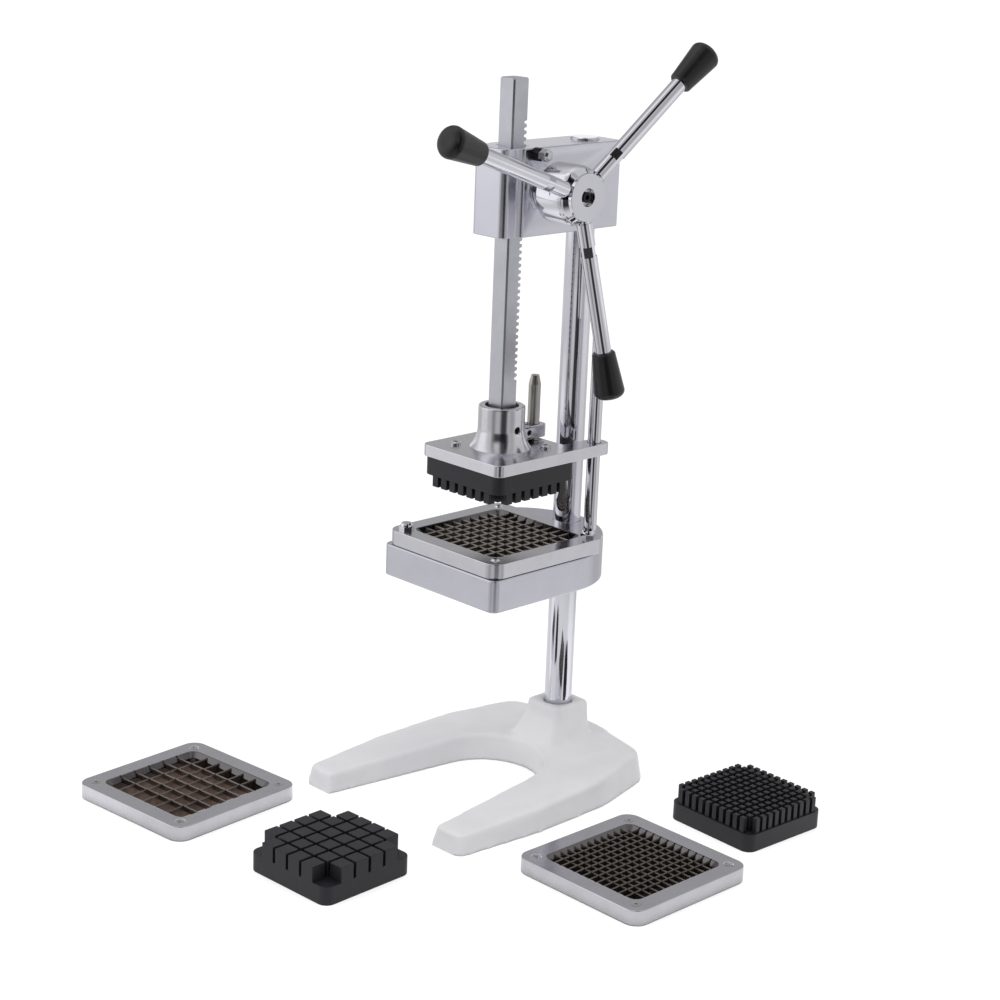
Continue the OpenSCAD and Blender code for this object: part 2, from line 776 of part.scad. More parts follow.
// At rest one tooth points into the rack's nearest gap below the pinion's axis
mesh_offset = (pinion_z - rack_teeth_z) / tooth_pitch;
mesh_turn = 180 + (mesh_offset - floor(mesh_offset)) * 360 / pinion_teeth;

module pinion() {
  shaft_len = head_half + hub_x + hub_len - hub_recess_depth - washer_t - 0.2;
  color("silver") translate([0, pinion_y, pinion_z]) difference() {
    union() {
      rotate([90, 0, 90]) translate([0, 0, -gear_w / 2]) linear_extrude(gear_w)
        rotate(mesh_turn) {
          circle(root_r);
          for (i = [0 : pinion_teeth - 1]) rotate(i * 360 / pinion_teeth) pinion_tooth();
        }
      translate([-head_half, 0, 0]) rod_x(shaft_r, shaft_len);
    }
    translate([-head_half + shaft_len - 14, 0, 0]) rod_x(3 + press, 15);
  }
}

lever_turns = [0, -120, -240];

module aim_lever(i) {
  translate([lever_x, pinion_y, pinion_z])
    rotate([lever_angle + lever_turns[i], 0, 0]) rotate([0, 0, -lever_lean]) rotate([-90, 0, 0])
      children();
}

// The hub narrows to its face and has a flat pad where each lever goes in
pad_dist = hub_r - 2.6;
pad_back = 14;

module hub_solid() {
  neck_r = head_boss_r - 0.5;
  neck_len = 5;
  flare_len = 8;
  face_len = 5;
  cone_len = 8;
  rotate([0, 90, 0]) rotate_extrude($fn = 96)
    polygon([[0, 0], [neck_r, 0], [neck_r, neck_len], [hub_r, neck_len + flare_len],
      [hub_r, hub_len - face_len - cone_len], [hub_r - 1.6, hub_len - face_len - cone_len * 0.45],
      [hub_face_r + 1, hub_len - face_len],
      [hub_face_r, hub_len - face_len + 1], [hub_face_r, hub_len], [0, hub_len]]);
}

module hub() {
  color("silver") difference() {
    translate([hub_x, pinion_y, pinion_z]) hub_solid();
    translate([hub_x - e, pinion_y, pinion_z]) rod_x(shaft_r + slip, hub_len + 2 * e);
    translate([hub_face_x - hub_recess_depth, pinion_y, pinion_z])
      rod_x(hub_recess_d / 2, hub_recess_depth + e);
    for (i = [0 : 2]) aim_lever(i) {
      translate([0, 0, lever_socket]) cylinder(r = lever_thread_r + press, h = hub_r);
      translate([-pad_back, -hub_r, pad_dist])
        cube([pad_back + lever_setback + 1, 2 * hub_r, hub_r]);
    }
    translate([hub_x + 5, pinion_y, pinion_z]) cylinder(r = 3 + press, h = hub_r);
  }
}

module hub_set_screw() {
  color("dimgray") translate([hub_x + 5, pinion_y, pinion_z + shaft_r + slip]) difference() {
    cylinder(r = 3, h = 9);
    translate([0, 0, 6.5]) cylinder(r = 1.6, h = 3, $fn = 6);
  }
}

module shaft_washer() {
  color("silver") translate([hub_face_x - hub_recess_depth, pinion_y, pinion_z]) difference() {
    translate([-washer_t, 0, 0]) rod_x(shaft_r - 0.3, washer_t);
    translate([-washer_t - e, 0, 0]) rod_x(3 + slip, washer_t + 2 * e);
  }
}

module shaft_end_screw() {
  color("dimgray") translate([hub_face_x - hub_recess_depth, pinion_y, pinion_z]) difference() {
    union() {
      translate([-washer_t - 12, 0, 0]) rod_x(3, washer_t + 12);
      rod_x(5, 3.5);
    }
    translate([1.2, 0, 0]) hex_x(2.6, 3);
  }
}

grip_start = lever_reach - grip_len;
grip_cover = 30;            // how far a lever goes into its grip
lever_core_r = lever_d / 2 - 1.5;
flat_cut = 1.2;             // depth of the wrench flats near the root of a lever
flat_len = 10;
flat_z = pad_dist + 27;

module lever(i) {
  color("silver") aim_lever(i) difference() {
    union() {
      translate([0, 0, pad_dist]) cylinder(r = lever_d / 2, h = grip_start - pad_dist);
      translate([0, 0, lever_socket + 0.5]) cylinder(r = lever_thread_r, h = pad_dist - lever_socket);
      translate([0, 0, grip_start - e]) cylinder(r = lever_core_r, h = grip_cover + e);
    }
    for (turn = [45, 135, 225, 315]) rotate(turn)
      translate([lever_d - flat_cut, 0, flat_z]) cube([lever_d, lever_d, flat_len], center = true);
  }
}

module grip(i) {
  neck_round = 1.5;
  dome_len = 7;
  dome_in = 9;
  color([0.12, 0.12, 0.13]) aim_lever(i) translate([0, 0, grip_start]) difference() {
    rotate_extrude($fn = 64)
      polygon(concat([[0, 0], [grip_neck_d / 2 - neck_round, 0], [grip_neck_d / 2, neck_round]],
        [for (a = [0 : 15 : 90]) [grip_d / 2 - dome_in * (1 - cos(a)), grip_len - dome_len * (1 - sin(a))]],
        [[0, grip_len]]));
    translate([0, 0, -e]) cylinder(r = lever_core_r + press, h = grip_cover + 0.5 + e);
  }
}

module lever_1() { lever(0); }
module lever_2() { lever(1); }
module lever_3() { lever(2); }
module grip_1() { grip(0); }
module grip_2() { grip(1); }
module grip_3() { grip(2); }

// ---------- rack and pusher ----------

// Gap between two rack teeth, its middle at z = 0, cut from the face y = rack_half
module rack_gap() {
  half_pitch_gap = tooth_pitch / 4 + backlash / 2;
  depth = 2.3 * gear_module;
  top_half = half_pitch_gap + gear_module * tan(pressure);
  bottom_half = top_half - depth * tan(pressure);
  over = e * tan(pressure);
  polygon([[rack_half + e, -top_half - over], [rack_half + e, top_half + over],
    [rack_half - depth, bottom_half], [rack_half - depth, -bottom_half]]);
}

module rack() {
  c = rack_chamfer;
  color([0.78, 0.79, 0.82]) difference() {
    intersection() {
      translate([0, 0, rack_z]) linear_extrude(rack_len)
        polygon([for (q = [0 : 3]) for (p = [[rack_half, c - rack_half], [rack_half, rack_half - c]])
          turned(p, 90 * q)]);
      translate([0, 0, rack_z]) rotate_extrude() {
        square([rack_half * 1.5, rack_len - 3]);
        translate([0, rack_len - 3.01]) square([rack_half * 1.5 - 3, 3.01]);
        polygon([[0, rack_len - 3.01], [rack_half * 1.5, rack_len - 3.01],
          [rack_half * 1.5 - 3, rack_len], [0, rack_len]]);
      }
    }
    rotate([90, 0, 90]) translate([0, 0, -rack_half - e]) linear_extrude(rack_side + 2 * e)
      for (i = [0 : rack_teeth]) translate([0, rack_teeth_z + i * tooth_pitch]) rack_gap();
  }
}

module plate_plan() {
  half = plate_side / 2;
  round_square(plate_side, plate_corner_r);
  round_rect(arm_x0, 0, arm_x1, arm_y1, plate_corner_r);
}

// Radius of the collar's hollow flare
flare_r = (pow(collar_flare_h, 2) + pow(collar_foot_r - collar_r, 2))
  / (2 * (collar_foot_r - collar_r));

module collar_body() {
  translate([0, 0, plate_z - e]) rotate_extrude($fn = 96) difference() {
    polygon([[0, 0], [collar_foot_r, 0], [collar_foot_r, collar_flare_h + e],
      [collar_r, collar_flare_h + e], [collar_r, collar_h + e - 1],
      [collar_r - 1, collar_h + e], [0, collar_h + e]]);
    translate([collar_r + flare_r, collar_flare_h + e]) circle(flare_r, $fn = 180);
  }
}

module pusher_plate() {
  set_z = plate_z + 20;
  color("lightgray") difference() {
    union() {
      translate([0, 0, block_z]) linear_extrude(plate_t) plate_plan();
      collar_body();
      translate([-lug_half, 0, lug_z]) linear_extrude(lug_t)
        round_rect(0, 0, 2 * lug_half, lug_y1, 3);
    }
    translate([0, 0, rack_z]) linear_extrude(collar_h + plate_t)
      square(rack_side + 2 * press, center = true);
    translate([0, 0, collar_top - 3]) cylinder(r = rack_half * 1.5 + 1.5, h = 3 + e);
    translate([guide_x, guide_y, block_z - e]) cylinder(r = guide_r + running, h = plate_t + 2 * e);
    translate([0, stop_pin_y, lug_z - e]) cylinder(r = stop_pin_d / 2 + press, h = lug_t + 2 * e);
    translate([-1, collar_r + 1.2, lug_z - e]) cube([2, stop_pin_y - collar_r - 1.2, lug_t + 2 * e]);
    translate([-lug_half - e, pinch_y, pinch_z]) rod_x(pinch_r + press, 2 * lug_half + 2 * e);
    translate([rack_half, 0, set_z]) rod_x(3.2 + press, collar_foot_r);
    for (s = [-1, 1]) translate([s * block_screw_pos, s * block_screw_pos, block_z - e])
      cylinder(r = frame_screw_r + slip, h = plate_t + 2 * e);
  }
}

module collar_set_screw() {
  color("dimgray") translate([rack_half + press, 0, plate_z + 20]) difference() {
    rod_x(3.2, collar_r - rack_half - 2);
    translate([collar_r - rack_half - 5, 0, 0]) hex_x(1.8, 4);
  }
}

module stop_pin() {
  taper = 9;
  r = stop_pin_d / 2;
  color([0.62, 0.6, 0.58]) translate([0, stop_pin_y, plate_z + 0.3]) {
    cylinder(r = r, h = stop_pin_h - taper);
    translate([0, 0, stop_pin_h - taper]) cylinder(r1 = r, r2 = r - 2, h = taper);
  }
}

module pinch_screw() {
  color("dimgray") translate([-lug_half + 1, pinch_y, pinch_z]) difference() {
    rod_x(pinch_r, 2 * lug_half - 1.5);
    translate([2 * lug_half - 3, 0, 0]) hex_x(1.5, 3);
  }
}

module pusher_block() {
  color([0.13, 0.13, 0.14]) translate([0, 0, block_z]) mirror([0, 0, 1])
    toothed_block(cells, slot_w, tooth_len, tooth_inset);
}

// Low cheese-head screws from above that hold the block to the plate
module block_screws() {
  head_h = 3;
  head_r = 5.2;
  depth = plate_t + block_base_t - 6;
  color("silver") for (s = [-1, 1])
    translate([s * block_screw_pos, s * block_screw_pos, plate_z]) difference() {
      union() {
        translate([0, 0, -depth]) cylinder(r = frame_screw_r, h = depth);
        cylinder(r = head_r, h = head_h - 1);
        translate([0, 0, head_h - 1]) cylinder(r1 = head_r, r2 = head_r - 1.4, h = 1);
      }
      translate([0, 0, 1]) cylinder(r = 2.3, h = head_h, $fn = 6);
    }
}

base();
column();
column_bolt();
blade_holder();
holder_set_screws();
guide_rod();
guide_rod_nut();
gear_head();
head_set_screws();
left_bush();
right_bush();
bush_set_screw();
brake_pad();
brake_screw();
brake_lock_nut();
cutting_frame();
upper_blades();
lower_blades();
frame_screws();
frame_studs();
dome_nuts();
pinion();
hub();
hub_set_screw();
shaft_washer();
shaft_end_screw();
lever_1();
lever_2();
lever_3();
grip_1();
grip_2();
grip_3();
rack();
pusher_plate();
collar_set_screw();
stop_pin();
pinch_screw();
pusher_block();
block_screws();
coarse_frame();
coarse_upper_blades();
coarse_lower_blades();
coarse_frame_screws();
coarse_block();
fine_frame();
fine_upper_blades();
fine_lower_blades();
fine_frame_screws();
fine_block();
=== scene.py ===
"""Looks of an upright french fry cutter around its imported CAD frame.

Metres, +Z up, the operator in front of -Y and the levers on +X.
"""

import json
import math

import bmesh
import bpy
from mathutils import Matrix, Vector


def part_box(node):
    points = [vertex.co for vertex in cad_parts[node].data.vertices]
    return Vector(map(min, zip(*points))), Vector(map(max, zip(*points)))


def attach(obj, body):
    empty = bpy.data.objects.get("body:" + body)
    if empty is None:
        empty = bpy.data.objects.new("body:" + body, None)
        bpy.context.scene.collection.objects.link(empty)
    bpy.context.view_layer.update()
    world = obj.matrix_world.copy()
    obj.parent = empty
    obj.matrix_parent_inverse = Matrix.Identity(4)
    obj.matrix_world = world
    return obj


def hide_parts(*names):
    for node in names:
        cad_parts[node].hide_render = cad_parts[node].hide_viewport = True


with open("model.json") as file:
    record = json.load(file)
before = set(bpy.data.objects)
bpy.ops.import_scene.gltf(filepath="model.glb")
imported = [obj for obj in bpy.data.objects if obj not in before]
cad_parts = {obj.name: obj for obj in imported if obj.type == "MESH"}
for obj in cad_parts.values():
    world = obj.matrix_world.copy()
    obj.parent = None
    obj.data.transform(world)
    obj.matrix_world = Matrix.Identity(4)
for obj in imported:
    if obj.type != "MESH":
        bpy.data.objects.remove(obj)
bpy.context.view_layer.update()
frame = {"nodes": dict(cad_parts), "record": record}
MM = 0.001
BODIES = frame["record"]["behaviour"]["bodies"]
BODY_OF = {node: body for body, nodes in BODIES.items() for node in nodes}
SLOT_OF = {part["node"]: part["material_slot"] for part in frame["record"]["subparts"]}

# Each grid's frame, the start of its blades' names, its cells along a side and its turn in degrees
GRIDS = (("cutting_frame", "", 9, 0), ("coarse_frame", "coarse_", 6, 94.3), ("fine_frame", "fine_", 12, -0.2))
GRID_SIDE = 108 * MM
OPENING_REACH = 61.5 * MM      # the opening with its bevel, from a frame's middle
BOLT_REACH = 63 * MM           # the frame's bolt holes, from its middle along X and Y
BOLT_SEAT_R = 6 * MM
BLADE_T = 0.8 * MM
BLADE_LENGTH = 117.6 * MM
BLADE_EDGE = 1.2 * MM          # height of the ground edge
EDGE_DROP = 0.4 * MM           # how far the lower blades' edges stay under the upper ones'


# ---------------------------------------------------------------- camera

CAMERA_AZIMUTH, CAMERA_HEIGHT_ANGLE, CAMERA_ROLL = (math.radians(v) for v in (45.34, 16.35, 2.25))
CAMERA_PLACE = (1.49384, -1.47392, 0.91297)
CAMERA_LENS, SENSOR_WIDTH = 80.41, 36


def place_camera():
    """The camera stands in front and to the right, a little above, and is rolled slightly."""
    a, e, roll = CAMERA_AZIMUTH, CAMERA_HEIGHT_ANGLE, CAMERA_ROLL
    back = Vector((math.sin(a) * math.cos(e), -math.cos(a) * math.cos(e), math.sin(e)))
    right = Vector((math.cos(a), math.sin(a), 0))
    up = back.cross(right)
    across = math.cos(roll) * right + math.sin(roll) * up
    upright = math.cos(roll) * up - math.sin(roll) * right
    data = bpy.data.cameras.new("camera")
    data.sensor_width, data.lens = SENSOR_WIDTH, CAMERA_LENS
    data.clip_start, data.clip_end = 0.05, 50
    camera = bpy.data.objects.new("camera", data)
    bpy.context.scene.collection.objects.link(camera)
    turn = Matrix((across, upright, back)).transposed().to_4x4()
    camera.matrix_world = Matrix.Translation(CAMERA_PLACE) @ turn
    bpy.context.scene.camera = camera


# ---------------------------------------------------------------- shader maths

class Value:
    """A shader value. Python's operators on it add the Math nodes."""

    def __init__(self, board, socket):
        self.board, self.socket = board, socket

    def math(self, operation, *others):
        return self.board.add("ShaderNodeMath", {"operation": operation}, self, *others)

    def __add__(self, other):
        return self.math("ADD", other)

    def __sub__(self, other):
        return self.math("SUBTRACT", other)

    def __mul__(self, other):
        return self.math("MULTIPLY", other)

    def __radd__(self, other):
        return self.math("ADD", other)

    def __rmul__(self, other):
        return self.math("MULTIPLY", other)

    def __rsub__(self, other):
        return self.board.add("ShaderNodeMath", {"operation": "SUBTRACT"}, other, self)

    def __abs__(self):
        return self.math("ABSOLUTE")

    def ramp(self, low, high, start=0.0, end=1.0):
        """Goes smoothly from start to end while this value goes from low to high."""
        return self.board.add("ShaderNodeMapRange", {"interpolation_type": "SMOOTHSTEP"},
                              self, low, high, start, end)


class Board:
    """A node tree and the one way in which nodes are added to it."""

    def __init__(self, tree):
        self.tree = tree

    def add(self, kind, settings=None, *values, output=0, **named):
        """Adds a node: its settings first, then values or links for its sockets, by order or by name."""
        node = self.tree.nodes.new(kind)
        for name, setting in (settings or {}).items():
            setattr(node, name, setting)
        for index, value in enumerate(values):
            self.connect(node.inputs[index], value)
        for name, value in named.items():
            self.connect(node.inputs[name.replace("_", " ")], value)
        return Value(self, node.outputs[output]) if node.outputs else node

    def connect(self, socket, value):
        if isinstance(value, Value):
            self.tree.links.new(value.socket, socket)
        elif socket.type == "RGBA" and not isinstance(value, (int, float)):
            socket.default_value = (*value, 1) if len(value) == 3 else value
        else:
            socket.default_value = value

    def blend(self, factor, first, second):
        """Mixes two colours."""
        node = self.tree.nodes.new("ShaderNodeMix")
        node.data_type = "RGBA"
        sockets = node.inputs["Factor"], node.inputs[6], node.inputs[7]
        for socket, value in zip(sockets, (factor, first, second)):
            self.connect(socket, value)
        return Value(self, node.outputs[2])

    def noise(self, place, size, detail=2.0, roughness=0.5):
        """Noise from 0 to 1 whose lumps are about size metres across."""
        return self.add("ShaderNodeTexNoise", None, Vector=place, Scale=1 / size, Detail=detail,
                        Roughness=roughness)

    def stretched(self, scale, turn=(0, 0, 0)):
        """Object coordinates, scaled and turned."""
        place = self.add("ShaderNodeTexCoord", None, output=3)
        return self.add("ShaderNodeMapping", None, Vector=place, Rotation=turn, Scale=scale)

    def parts_of(self, vector):
        node = self.tree.nodes.new("ShaderNodeSeparateXYZ")
        self.connect(node.inputs[0], vector)
        return [Value(self, socket) for socket in node.outputs]


class Finish(Board):
    """A material on a Principled shader."""

    def __init__(self, name, colour, roughness, metallic=0.0, **fixed):
        self.material = bpy.data.materials.new(name)
        self.material.use_nodes = True
        super().__init__(self.material.node_tree)
        self.shader = next(n for n in self.tree.nodes if n.type == "BSDF_PRINCIPLED")
        self.place = self.add("ShaderNodeTexCoord", None, output=3)
        self.set("Metallic", metallic)
        self.set("Base Color", colour)
        self.set("Roughness", roughness)
        for socket, value in fixed.items():
            self.set(socket.replace("_", " "), value)

    def set(self, socket, value):
        self.connect(self.shader.inputs[socket], value)

    def bump(self, height, depth, strength=1.0, under=None):
        """Feeds a height from 0 to 1 to the surface as a bump of depth metres."""
        named = {"Normal": under} if under else {}
        normal = self.add("ShaderNodeBump", None, Strength=strength, Distance=depth, Height=height, **named)
        self.set("Normal", normal)
        return normal


# ---------------------------------------------------------------- finishes

def open_to_air(f, reach, closed, clear):
    """0 in hollows and where parts meet, 1 on open faces, as far as reach metres can tell."""
    free = f.add("ShaderNodeAmbientOcclusion", {"samples": 6}, Distance=reach, output=1)
    return free.ramp(closed, clear)


def enamel_finish():
    """Thick white enamel over cast iron, with the casting's soft waves under it."""
    f = Finish("white_enamel", (0.85, 0.85, 0.87), 0.3, Coat_Weight=0.35, Coat_Roughness=0.12)
    waves = f.noise(f.place, 26 * MM, 2.0)
    peel = f.noise(f.place, 2.2 * MM, 2.0)
    dust = f.noise(f.place, 60 * MM, 3.0, 0.6)
    f.set("Base Color", f.blend(dust.ramp(0.35, 0.7), (0.82, 0.815, 0.845), (0.87, 0.87, 0.885)))
    f.set("Roughness", 0.26 + 0.16 * dust)
    f.bump(0.85 * waves + 0.15 * peel, 0.5 * MM, 0.3)
    return f.material


def chrome_finish(name, along, shade=0.77, rough=0.06):
    """Bright chrome with faint draw marks along one axis and a few wiped smears."""
    f = Finish(name, (shade, shade, shade + 0.06), rough, 1.0)
    scale = [1.0 if axis == along else 45.0 for axis in "xyz"]
    marks = f.noise(f.stretched(scale), 30 * MM, 2.0)
    smears = f.noise(f.place, 35 * MM, 4.0, 0.6)
    f.set("Roughness", rough + 0.05 * smears.ramp(0.45, 0.75) + 0.02 * marks)
    f.set("Base Color", f.blend(smears.ramp(0.4, 0.8), (shade, shade - 0.005, shade + 0.06),
                                (shade - 0.05, shade - 0.05, shade + 0.005)))
    f.bump(marks, 0.02 * MM, 0.12)
    return f.material


def cast_finish():
    """Cast aluminium, blasted and rubbed down: fine grain, low waves and pale rubbed patches."""
    f = Finish("cast_aluminium", (0.66, 0.655, 0.74), 0.34, 1.0)
    grain = f.noise(f.place, 0.7 * MM, 3.0, 0.6)
    waves = f.noise(f.place, 18 * MM, 2.0)
    rubbed = f.noise(f.place, 45 * MM, 4.0, 0.6)
    f.set("Base Color", f.blend(rubbed.ramp(0.3, 0.75), (0.635, 0.63, 0.705), (0.675, 0.67, 0.745)))
    f.set("Roughness", 0.18 + 0.08 * grain + 0.05 * rubbed)
    f.bump(0.6 * waves + 0.4 * grain, 0.08 * MM, 0.3)
    return f.material


def polished_finish():
    """Machined and polished aluminium: cutter lines both ways, a light haze, painted shade in its hollows and
    bright walls painted into two bolt holes.
    """
    f = Finish("polished_aluminium", (0.74, 0.74, 0.765), 0.2, 1.0)
    lines_x = f.noise(f.stretched((1, 60, 60)), 45 * MM, 2.0)
    lines_y = f.noise(f.stretched((60, 1, 60)), 45 * MM, 2.0)
    haze = f.noise(f.place, 25 * MM, 4.0, 0.65)
    clean = f.blend(haze.ramp(0.3, 0.8), (0.72, 0.71, 0.76), (0.66, 0.65, 0.695))
    tarnish = f.add("ShaderNodeAttribute", {"attribute_name": "tarnish"}, output=2)
    # Painted shade: the base colour goes near black where occlusion finds a hollow and on faces marked 1.
    hollow_shade = (1.0 - open_to_air(f, 22 * MM, 0.34, 0.58)).math("MAXIMUM", 0.85 * tarnish)
    painted_dark = tarnish.ramp(-0.9, -0.1) * hollow_shade
    # Painted glint: faces marked -1 get a near-white, rough colour so the bolt holes look lit.
    bright = tarnish.ramp(-0.1, -0.9)
    f.set("Base Color", f.blend(bright, f.blend(painted_dark, clean, (0.075, 0.066, 0.063)), (0.97, 0.97, 0.98)))
    f.set("Roughness", 0.10 + 0.07 * haze + 0.06 * lines_x + 0.05 * lines_y + 0.6 * bright)
    f.bump(0.5 * lines_x + 0.5 * lines_y, 0.03 * MM, 0.25)
    return f.material


def steel_finish(name, colour, rough, along="z", grind=60.0, haze_depth=0.1):
    """Ground or plated steel with grinding lines along one axis."""
    f = Finish(name, colour, rough, 1.0)
    scale = [1.0 if axis == along else grind for axis in "xyz"]
    lines = f.noise(f.stretched(scale), 40 * MM, 3.0, 0.6)
    haze = f.noise(f.place, 18 * MM, 3.0, 0.6)
    darker = tuple(0.86 * c for c in colour)
    f.set("Base Color", f.blend(0.5 * lines + 0.5 * haze.ramp(0.3, 0.8), colour, darker))
    f.set("Roughness", rough + haze_depth * haze + 0.08 * lines)
    f.bump(lines, 0.03 * MM, 0.3)
    return f.material


def blade_finish():
    """Thin stainless strip, dulled brown on its flanks and bright along its ground edge."""
    f = Finish("ground_blade_steel", (0.24, 0.215, 0.20), 0.3, 1.0)
    facing = f.add("ShaderNodeNewGeometry", None, output=1)
    edge = f.parts_of(facing)[2].ramp(0.15, 0.4)
    stain = f.noise(f.place, 9 * MM, 4.0, 0.65)
    flank = f.blend(stain.ramp(0.3, 0.7), (0.37, 0.33, 0.31), (0.25, 0.21, 0.19))
    f.set("Base Color", f.blend(edge, flank, (0.34, 0.32, 0.295)))
    f.set("Roughness", 0.24 + 0.2 * stain)
    return f.material


def bronze_finish():
    f = Finish("sintered_bronze", (0.60, 0.42, 0.22), 0.35, 1.0)
    pores = f.noise(f.place, 0.4 * MM, 2.0)
    f.set("Roughness", 0.28 + 0.2 * pores)
    f.bump(pores, 0.03 * MM, 0.4)
    return f.material


def moulded_finish(name, colour, rough, grain_size, grain_depth):
    """Black moulded plastic with a fine grain, scuffed a little paler in places."""
    f = Finish(name, colour, rough, 0.0)
    grain = f.noise(f.place, grain_size, 2.0)
    scuffs = f.noise(f.place, 14 * MM, 5.0, 0.7)
    paler = tuple(c * 1.5 + 0.006 for c in colour)
    f.set("Base Color", f.blend(scuffs.ramp(0.5, 0.8), colour, paler))
    f.set("Roughness", rough + 0.12 * scuffs - 0.06 * grain)
    f.bump(grain, grain_depth, 0.4)
    return f.material


def make_finishes():
    return {
        "white_paint": enamel_finish(),
        "chrome": chrome_finish("chrome", "z"),
        "cast_aluminium": cast_finish(),
        "polished_aluminium": polished_finish(),
        "rack_steel": steel_finish("plated_rack_steel", (0.61, 0.61, 0.665), 0.30),
        "blade_steel": blade_finish(),
        "screw_steel": steel_finish("bright_screw_steel", (0.72, 0.72, 0.73), 0.12, "z", 20),
        "pin_steel": steel_finish("turned_pin_steel", (0.52, 0.50, 0.47), 0.24, "x", 8),
        "black_steel": steel_finish("black_oxide", (0.035, 0.035, 0.04), 0.32, "z", 10),
        "bronze": bronze_finish(),
        "black_block": moulded_finish("black_moulding", (0.011, 0.0105, 0.0145), 0.45, 0.8 * MM, 0.03 * MM),
        "black_grip": moulded_finish("black_phenolic", (0.0065, 0.0062, 0.0078), 0.27, 1.4 * MM,
                                     0.012 * MM),
    }


# ---------------------------------------------------------------- rounded copies of solids

def plain_mesh(piece):
    """The piece's mesh with its modifiers worked in and taken off."""
    bpy.context.view_layer.update()
    evaluated = piece.evaluated_get(bpy.context.evaluated_depsgraph_get())
    made = bpy.data.meshes.new_from_object(evaluated)
    made.name = piece.name
    piece.modifiers.clear()
    old, piece.data = piece.data, made
    bpy.data.meshes.remove(old)
    return piece


def merged_copy(node):
    """A joined-up copy of a solid's loose triangles."""
    work = bmesh.new()
    work.from_mesh(frame["nodes"][node].data)
    bmesh.ops.remove_doubles(work, verts=work.verts, dist=0.003 * MM)
    bmesh.ops.dissolve_degenerate(work, edges=work.edges, dist=0.002 * MM)
    return work


def link_piece(name, work):
    mesh = bpy.data.meshes.new(name)
    work.to_mesh(mesh)
    work.free()
    for layer in ("custom_normal", "sharp_face", "sharp_edge"):
        if layer in mesh.attributes:
            mesh.attributes.remove(mesh.attributes[layer])
    piece = bpy.data.objects.new(name, mesh)
    bpy.context.scene.collection.objects.link(piece)
    return piece


def stand_in(piece, *nodes):
    """The piece takes the place, the body and the finish of these solids."""
    piece.data.materials.clear()
    piece.data.materials.append(finishes[SLOT_OF[nodes[0]]])
    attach(piece, BODY_OF[nodes[0]])
    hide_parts(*nodes)
    return piece


def eased(node, width, segments=3, sharp=32.0):
    """A copy of a solid whose sharp outer edges are rounded."""
    work = merged_copy(node)
    weight = work.edges.layers.float.new("bevel_weight_edge")
    limit = math.radians(sharp)
    for edge in work.edges:
        if len(edge.link_faces) == 2 and edge.calc_face_angle() > limit:
            if edge.is_convex:
                edge[weight] = 1.0
    piece = link_piece(node + "_eased", work)
    bevel = piece.modifiers.new("round", "BEVEL")
    bevel.limit_method, bevel.width, bevel.segments = "WEIGHT", width, segments
    bevel.use_clamp_overlap, bevel.loop_slide, bevel.harden_normals = False, False, True
    piece.data.shade_smooth()
    piece.data.set_sharp_from_angle(angle=math.radians(40))
    plain_mesh(piece)
    return stand_in(piece, node)


def eased_frame(node, turn):
    """A rounded cutting frame, marked 1 in its opening for painted shade and -1 in two bolt holes for painted
    bright walls.

    In a frame's own axes the holes lie where x times y is above 0 and the screws on the other diagonal.
    """
    piece = eased(node, 0.8 * MM)
    low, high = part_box(node)
    middle, back = (low + high) / 2, Matrix.Rotation(-math.radians(turn), 3, "Z")
    marks = piece.data.attributes.new("tarnish", "FLOAT", "FACE")
    for face, mark in zip(piece.data.polygons, marks.data):
        local = back @ (face.center - middle)
        x, y = abs(local.x), abs(local.y)
        is_top = face.normal.z >= 0.95
        # Marks for painted light: -1 paints bright walls into two bolt holes, 1 paints shade into the
        # opening.
        if not is_top and math.hypot(x - BOLT_REACH, y - BOLT_REACH) < BOLT_SEAT_R:
            mark.value = -1.0 if local.x * local.y > 0 else 0.0
        elif not is_top and max(x, y) < OPENING_REACH:
            mark.value = 1.0
    return piece


def blade_row_tree():
    """Geometry Nodes for a row of parallel strips along X, each ground to an edge at its top."""
    tree = bpy.data.node_groups.new("blade_row", "GeometryNodeTree")
    sockets = {"Blades": "Int", "Pitch": "Float", "Length": "Float", "Thickness": "Float",
               "Height": "Float", "Edge": "Float", "Finish": "Material"}
    for name, kind in sockets.items():
        tree.interface.new_socket(name=name, in_out="INPUT", socket_type="NodeSocket" + kind)
    tree.interface.new_socket(name="Geometry", in_out="OUTPUT", socket_type="NodeSocketGeometry")
    board = Board(tree)
    given = tree.nodes.new("NodeGroupInput")
    blades, pitch, length, thickness, height, edge, finish = [Value(board, s) for s in given.outputs[:7]]

    size = board.add("ShaderNodeCombineXYZ", None, length, thickness, height - edge)
    strip = board.add("GeometryNodeMeshCube", None, Size=size)
    upward = board.parts_of(board.add("GeometryNodeInputNormal"))[2]
    is_top = upward.math("GREATER_THAN", 0.5)
    ridge = board.add("GeometryNodeExtrudeMesh", None, Mesh=strip, Selection=is_top, Offset_Scale=edge)
    crest = Value(board, ridge.socket.node.outputs["Top"])
    ground = board.add("GeometryNodeScaleElements", {"domain": "FACE", "scale_mode": "SINGLE_AXIS"},
                       Geometry=ridge, Selection=crest, Scale=0.1, Axis=(0, 1, 0))
    start = board.add("ShaderNodeCombineXYZ", None, 0.0, (blades - 1.0) * pitch * -0.5, 0.0)
    step = board.add("ShaderNodeCombineXYZ", None, 0.0, pitch, 0.0)
    places = board.add("GeometryNodeMeshLine", {"mode": "OFFSET"}, Count=blades, Start_Location=start,
                       Offset=step)
    row = board.add("GeometryNodeInstanceOnPoints", None, Points=places, Instance=ground)
    real = board.add("GeometryNodeRealizeInstances", None, Geometry=row)
    finished = board.add("GeometryNodeSetMaterial", None, Geometry=real, Material=finish)
    board.add("NodeGroupOutput", None, finished)
    return tree


